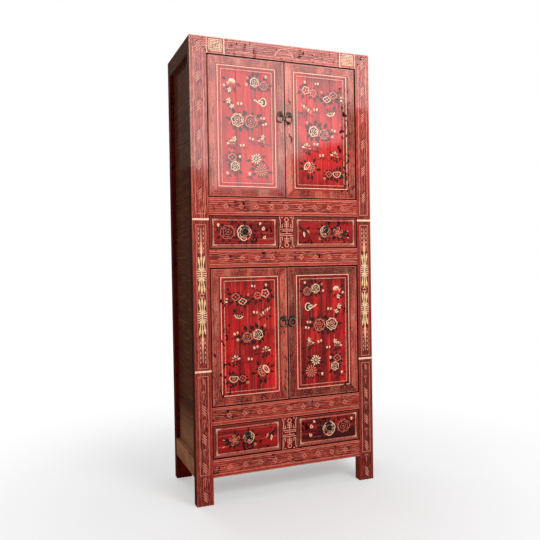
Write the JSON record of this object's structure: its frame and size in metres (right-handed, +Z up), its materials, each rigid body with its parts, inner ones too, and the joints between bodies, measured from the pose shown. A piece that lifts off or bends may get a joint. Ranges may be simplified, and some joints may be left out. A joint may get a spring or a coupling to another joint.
{
  "type": "wedding cabinet",
  "caption": "Tall lacquered wedding cabinet: upper and lower door cupboards with drawers below each, ring pulls, in a post-and-rail frame.",
  "frame": {"origin": "on the floor, under the middle of the whole cabinet's box, ring pulls included", "axes": "+Z up, the doors and drawers face -Y, +X to the right seen from the front"},
  "size_m": [0.82, 0.4113, 1.9],
  "materials": {
    "red_lacquer": "worn red lacquer over wood, painted flowers and combed lines, semi-gloss",
    "brown_lacquer": "glossy dark brown lacquer over wood",
    "bare_wood": "unfinished old wood, dull",
    "dark_brass": "dark patina, rubbed bright where it is handled"
  },
  "bodies": {
    "root": {"front_post_left": "red_lacquer", "front_post_right": "red_lacquer", "rear_post_left": "red_lacquer", "rear_post_right": "red_lacquer", "top_side_rail_left": "brown_lacquer", "top_side_rail_right": "brown_lacquer", "bottom_side_rail_left": "brown_lacquer", "bottom_side_rail_right": "brown_lacquer", "side_panel_left": "brown_lacquer", "side_panel_right": "brown_lacquer", "top_front_rail": "red_lacquer", "upper_drawer_top_rail": "red_lacquer", "upper_drawer_bottom_rail": "red_lacquer", "lower_drawer_top_rail": "red_lacquer", "bottom_front_rail": "red_lacquer", "upper_drawer_divider": "red_lacquer", "lower_drawer_divider": "red_lacquer", "rear_rails": "bare_wood", "back_panels": "bare_wood", "top_panel": "brown_lacquer", "lower_drawer_floor": "bare_wood", "lower_cupboard_floor": "bare_wood", "upper_drawer_floor": "bare_wood", "upper_cupboard_floor": "bare_wood", "lower_shelf": "bare_wood", "upper_shelf": "bare_wood", "bearers_and_cleats": "bare_wood", "drawer_guides": "bare_wood"},
    "upper_left_door": {"upper_left_door_frame": "red_lacquer", "upper_left_door_panel": "red_lacquer", "upper_left_door_pull_plate": "dark_brass"},
    "upper_left_door_ring": {"upper_left_door_pull_ring": "dark_brass"},
    "upper_right_door": {"upper_right_door_frame": "red_lacquer", "upper_right_door_panel": "red_lacquer", "upper_right_door_pull_plate": "dark_brass"},
    "upper_right_door_ring": {"upper_right_door_pull_ring": "dark_brass"},
    "lower_left_door": {"lower_left_door_frame": "red_lacquer", "lower_left_door_panel": "red_lacquer", "lower_left_door_pull_plate": "dark_brass"},
    "lower_left_door_ring": {"lower_left_door_pull_ring": "dark_brass"},
    "lower_right_door": {"lower_right_door_frame": "red_lacquer", "lower_right_door_panel": "red_lacquer", "lower_right_door_pull_plate": "dark_brass"},
    "lower_right_door_ring": {"lower_right_door_pull_ring": "dark_brass"},
    "upper_left_drawer": {"upper_left_drawer_front": "red_lacquer", "upper_left_drawer_box": "bare_wood", "upper_left_drawer_pull_plate": "dark_brass"},
    "upper_left_drawer_ring": {"upper_left_drawer_pull_ring": "dark_brass"},
    "upper_right_drawer": {"upper_right_drawer_front": "red_lacquer", "upper_right_drawer_box": "bare_wood", "upper_right_drawer_pull_plate": "dark_brass"},
    "upper_right_drawer_ring": {"upper_right_drawer_pull_ring": "dark_brass"},
    "lower_left_drawer": {"lower_left_drawer_front": "red_lacquer", "lower_left_drawer_box": "bare_wood", "lower_left_drawer_pull_plate": "dark_brass"},
    "lower_left_drawer_ring": {"lower_left_drawer_pull_ring": "dark_brass"},
    "lower_right_drawer": {"lower_right_drawer_front": "red_lacquer", "lower_right_drawer_box": "bare_wood", "lower_right_drawer_pull_plate": "dark_brass"},
    "lower_right_drawer_ring": {"lower_right_drawer_pull_ring": "dark_brass"}
  },
  "joints": [
    {"name": "upper_left_door_hinge", "type": "hinge", "parent": "root", "child": "upper_left_door", "pos_m": [-0.326, -0.18135, 1.545], "axis": [0, 0, -1], "range_deg": [0, 100]},
    {"name": "upper_left_door_ring_swing", "type": "hinge", "parent": "upper_left_door", "child": "upper_left_door_ring", "pos_m": [-0.02075, -0.1999, 1.60864], "axis": [-1, 0, 0], "range_deg": [-8, 170]},
    {"name": "upper_right_door_hinge", "type": "hinge", "parent": "root", "child": "upper_right_door", "pos_m": [0.326, -0.18135, 1.545], "axis": [0, 0, 1], "range_deg": [0, 100]},
    {"name": "upper_right_door_ring_swing", "type": "hinge", "parent": "upper_right_door", "child": "upper_right_door_ring", "pos_m": [0.02075, -0.1999, 1.60864], "axis": [-1, 0, 0], "range_deg": [-8, 170]},
    {"name": "lower_left_door_hinge", "type": "hinge", "parent": "root", "child": "lower_left_door", "pos_m": [-0.326, -0.18135, 0.683], "axis": [0, 0, -1], "range_deg": [0, 100]},
    {"name": "lower_left_door_ring_swing", "type": "hinge", "parent": "lower_left_door", "child": "lower_left_door_ring", "pos_m": [-0.02075, -0.1999, 0.74573], "axis": [-1, 0, 0], "range_deg": [-8, 170]},
    {"name": "lower_right_door_hinge", "type": "hinge", "parent": "root", "child": "lower_right_door", "pos_m": [0.326, -0.18135, 0.683], "axis": [0, 0, 1], "range_deg": [0, 100]},
    {"name": "lower_right_door_ring_swing", "type": "hinge", "parent": "lower_right_door", "child": "lower_right_door_ring", "pos_m": [0.02075, -0.1999, 0.74573], "axis": [-1, 0, 0], "range_deg": [-8, 170]},
    {"name": "upper_left_drawer_slide", "type": "slide", "parent": "root", "child": "upper_left_drawer", "axis": [0, -1, 0], "range_m": [0, 0.25]},
    {"name": "upper_left_drawer_ring_swing", "type": "hinge", "parent": "upper_left_drawer", "child": "upper_left_drawer_ring", "pos_m": [-0.18775, -0.1999, 1.12805], "axis": [-1, 0, 0], "range_deg": [-8, 170]},
    {"name": "upper_right_drawer_slide", "type": "slide", "parent": "root", "child": "upper_right_drawer", "axis": [0, -1, 0], "range_m": [0, 0.25]},
    {"name": "upper_right_drawer_ring_swing", "type": "hinge", "parent": "upper_right_drawer", "child": "upper_right_drawer_ring", "pos_m": [0.18775, -0.1999, 1.12805], "axis": [-1, 0, 0], "range_deg": [-8, 170]},
    {"name": "lower_left_drawer_slide", "type": "slide", "parent": "root", "child": "lower_left_drawer", "axis": [0, -1, 0], "range_m": [0, 0.25]},
    {"name": "lower_left_drawer_ring_swing", "type": "hinge", "parent": "lower_left_drawer", "child": "lower_left_drawer_ring", "pos_m": [-0.18775, -0.1999, 0.27005], "axis": [-1, 0, 0], "range_deg": [-8, 170]},
    {"name": "lower_right_drawer_slide", "type": "slide", "parent": "root", "child": "lower_right_drawer", "axis": [0, -1, 0], "range_m": [0, 0.25]},
    {"name": "lower_right_drawer_ring_swing", "type": "hinge", "parent": "lower_right_drawer", "child": "lower_right_drawer_ring", "pos_m": [0.18775, -0.1999, 0.27005], "axis": [-1, 0, 0], "range_deg": [-8, 170]}
  ]
}
